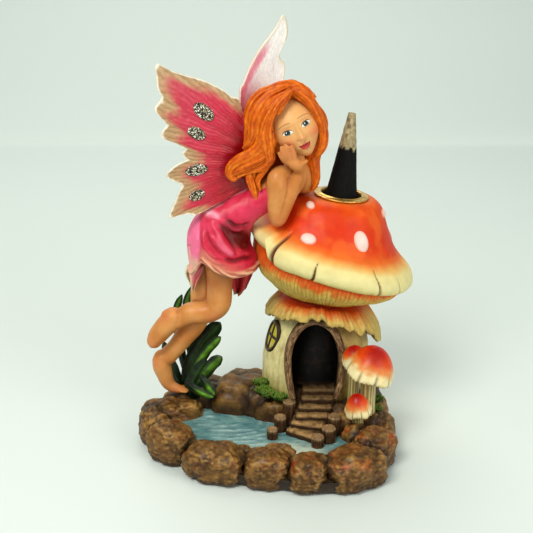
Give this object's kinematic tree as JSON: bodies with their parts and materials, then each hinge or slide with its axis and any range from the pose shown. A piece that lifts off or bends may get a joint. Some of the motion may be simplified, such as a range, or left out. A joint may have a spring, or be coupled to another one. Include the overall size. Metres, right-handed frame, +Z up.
{
  "type": "backflow incense burner",
  "caption": "Painted resin backflow incense burner: a winged fairy leans on a toadstool house by a rock-rimmed pond, with a metal cone dish on the cap.",
  "frame": {"origin": "middle of the base, on the flat underside that it stands on", "axes": "+Z up, -Y towards the viewer and the front of the doorway, +X to the viewer's right"},
  "size_m": [0.1294, 0.115, 0.1912],
  "materials": {
    "painted_resin": "hand-painted, satin",
    "figure_paint": "hand-painted, satin",
    "pearl_paint": "pearly paint with glitter ovals",
    "gilt_metal": "satin gilt",
    "pressed_incense": "matte pressed powder, grey ash above"
  },
  "bodies": {
    "root": {"pond_base": "painted_resin", "toadstool_house_casting": "painted_resin", "toadstool_cap": "painted_resin", "fairy_figure": "figure_paint", "near_wing": "pearl_paint", "far_wing": "pearl_paint", "cone_dish": "gilt_metal", "incense_cone": "pressed_incense"}
  },
  "joints": []
}
